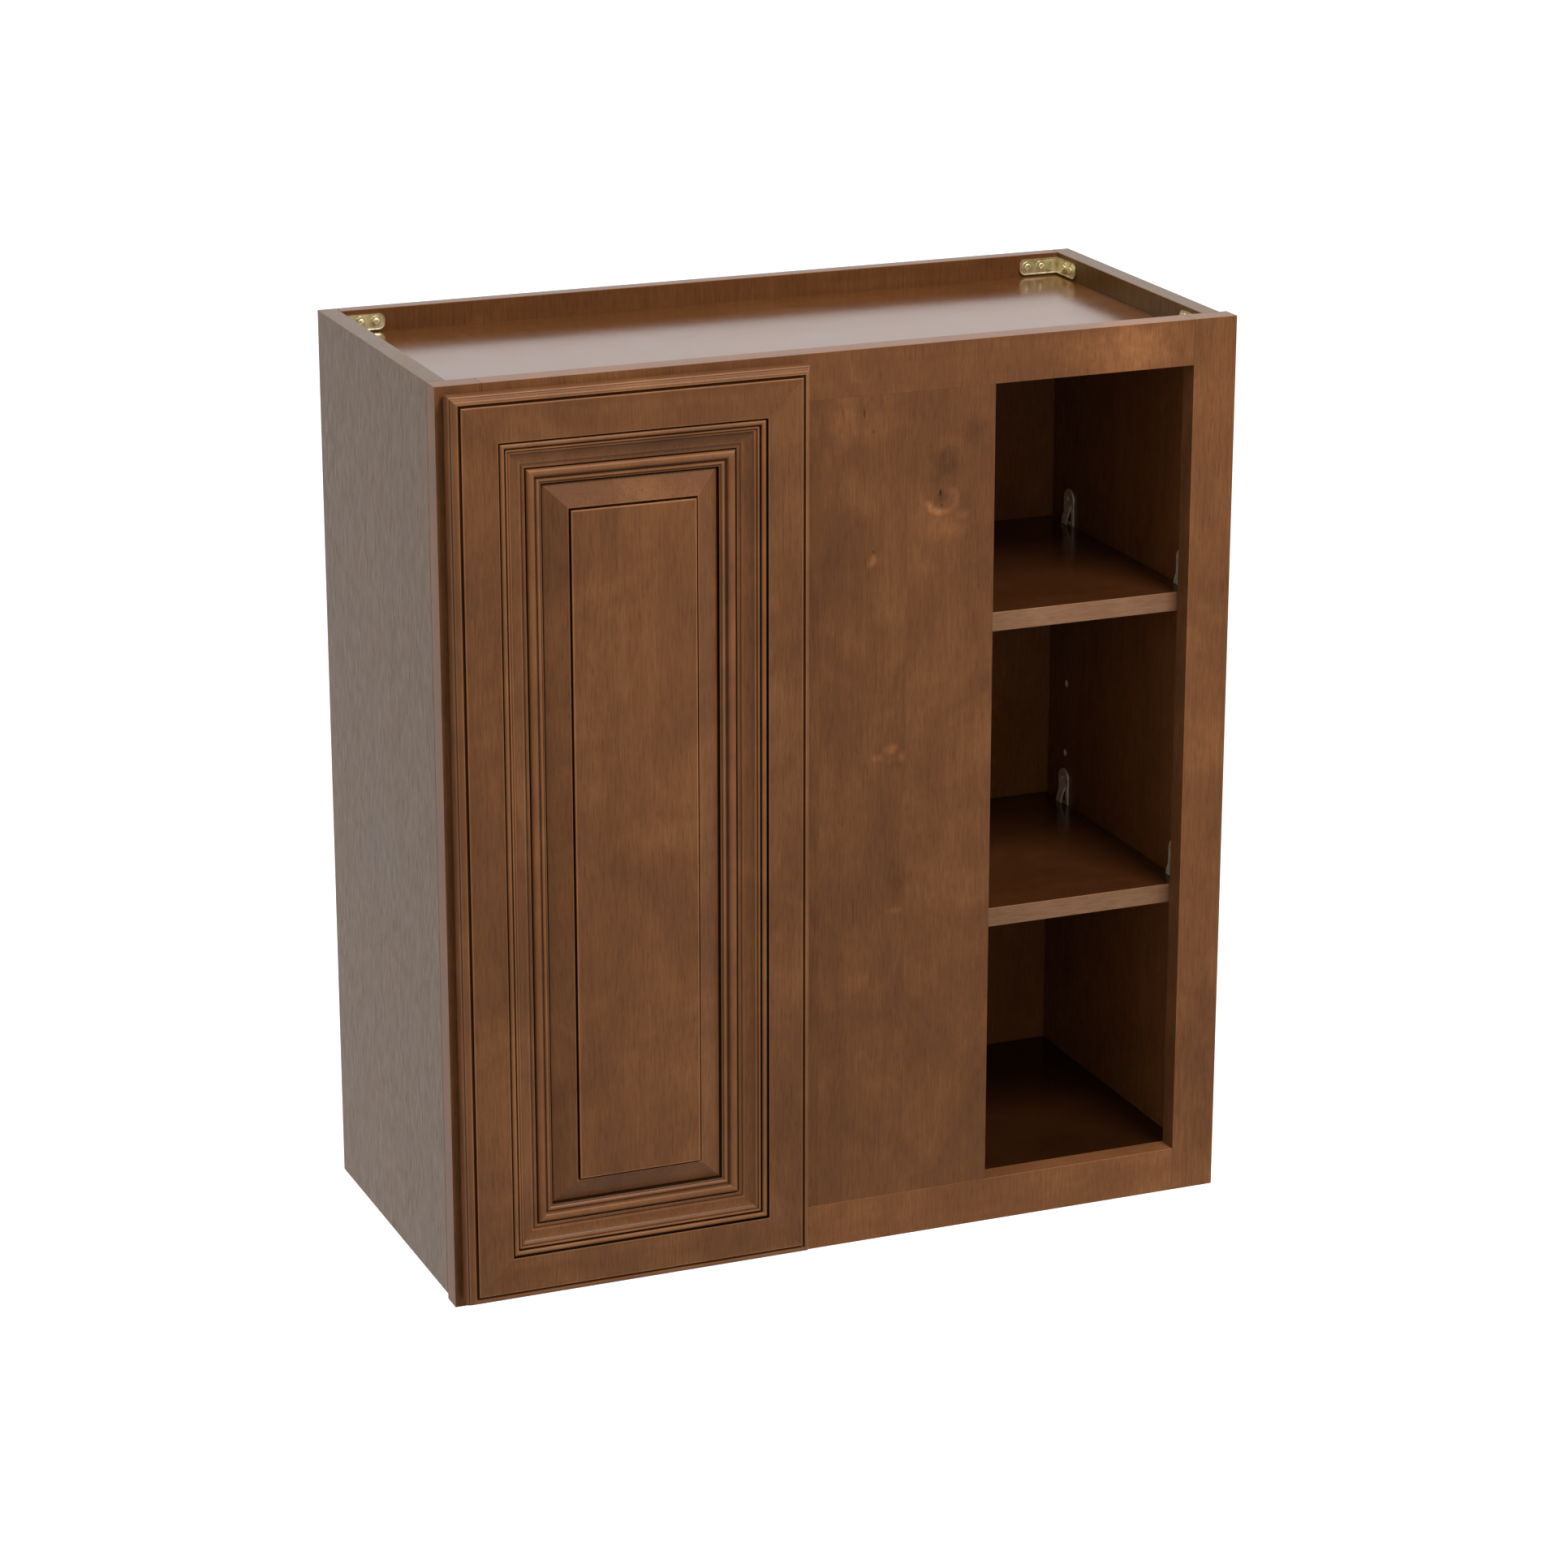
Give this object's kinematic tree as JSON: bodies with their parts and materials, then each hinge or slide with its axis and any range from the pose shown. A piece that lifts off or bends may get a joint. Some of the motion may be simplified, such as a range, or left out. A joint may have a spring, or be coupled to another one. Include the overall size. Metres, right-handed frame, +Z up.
{
  "type": "wall cabinet",
  "caption": "Wall cabinet for a blind corner: face-frame box, raised-panel hinged door, fixed blind panel and an open bay with adjustable shelves.",
  "frame": {"origin": "centre of the back face, which goes against the wall", "axes": "+Y into the wall, out of the back face; +Z up; +X to the right seen from the front, where the door and the open bay face -Y"},
  "size_m": [0.6858, 0.3255, 0.762],
  "materials": {
    "maple_box": "satin stained maple veneer, box panels and shelves",
    "maple_frame": "satin stained solid maple, face frame and blind panel",
    "maple_door": "satin stained and glazed solid maple",
    "maple_edge_band": "stained maple edge band",
    "brass_plate": "bright stamped, brass plated",
    "nickel_plate": "nickel plated steel",
    "zinc_steel": "zinc plated steel",
    "bumper_rubber": "translucent grey rubber"
  },
  "bodies": {
    "cabinet": {"side_panel_left": "maple_box", "side_panel_right": "maple_box", "back_panel": "maple_box", "top_panel": "maple_box", "bottom_panel": "maple_box", "frame_stile_left": "maple_frame", "frame_stile_right": "maple_frame", "frame_rail_top": "maple_frame", "frame_rail_bottom": "maple_frame", "frame_stile_centre": "maple_frame", "blind_board_left": "maple_frame", "blind_board_right": "maple_frame", "shelf_lower": "maple_box", "shelf_upper": "maple_box", "shelf_band_lower": "maple_edge_band", "shelf_band_upper": "maple_edge_band", "shelf_clip_lower_left_front": "nickel_plate", "shelf_clip_lower_left_back": "nickel_plate", "shelf_clip_lower_right_front": "nickel_plate", "shelf_clip_lower_right_back": "nickel_plate", "shelf_clip_upper_left_front": "nickel_plate", "shelf_clip_upper_left_back": "nickel_plate", "shelf_clip_upper_right_front": "nickel_plate", "shelf_clip_upper_right_back": "nickel_plate", "bracket_top_back_left": "brass_plate", "bracket_top_back_right": "brass_plate", "bracket_top_front_left": "brass_plate", "bracket_top_front_right": "brass_plate", "bracket_bottom_back_left": "brass_plate", "bracket_bottom_back_right": "brass_plate", "bracket_bottom_front_left": "brass_plate", "bracket_bottom_front_right": "brass_plate", "hinge_arm_bottom": "nickel_plate", "hinge_arm_top": "nickel_plate", "hinge_screw_bottom_lower": "zinc_steel", "hinge_screw_bottom_upper": "zinc_steel", "hinge_screw_top_lower": "zinc_steel", "hinge_screw_top_upper": "zinc_steel"},
    "door": {"door_stile_left": "maple_door", "door_stile_right": "maple_door", "door_rail_top": "maple_door", "door_rail_bottom": "maple_door", "door_moulding_left": "maple_door", "door_moulding_right": "maple_door", "door_moulding_top": "maple_door", "door_moulding_bottom": "maple_door", "door_panel": "maple_door", "hinge_case_bottom": "nickel_plate", "hinge_case_top": "nickel_plate", "hinge_pin_bottom": "zinc_steel", "hinge_pin_top": "zinc_steel", "bumper_top": "bumper_rubber", "bumper_bottom": "bumper_rubber"}
  },
  "joints": [
    {"name": "door_swing", "type": "hinge", "parent": "cabinet", "child": "door", "pos_m": [-0.3304, -0.3184, 0], "axis": [0, 0, -1], "range_deg": [0, 100]}
  ]
}
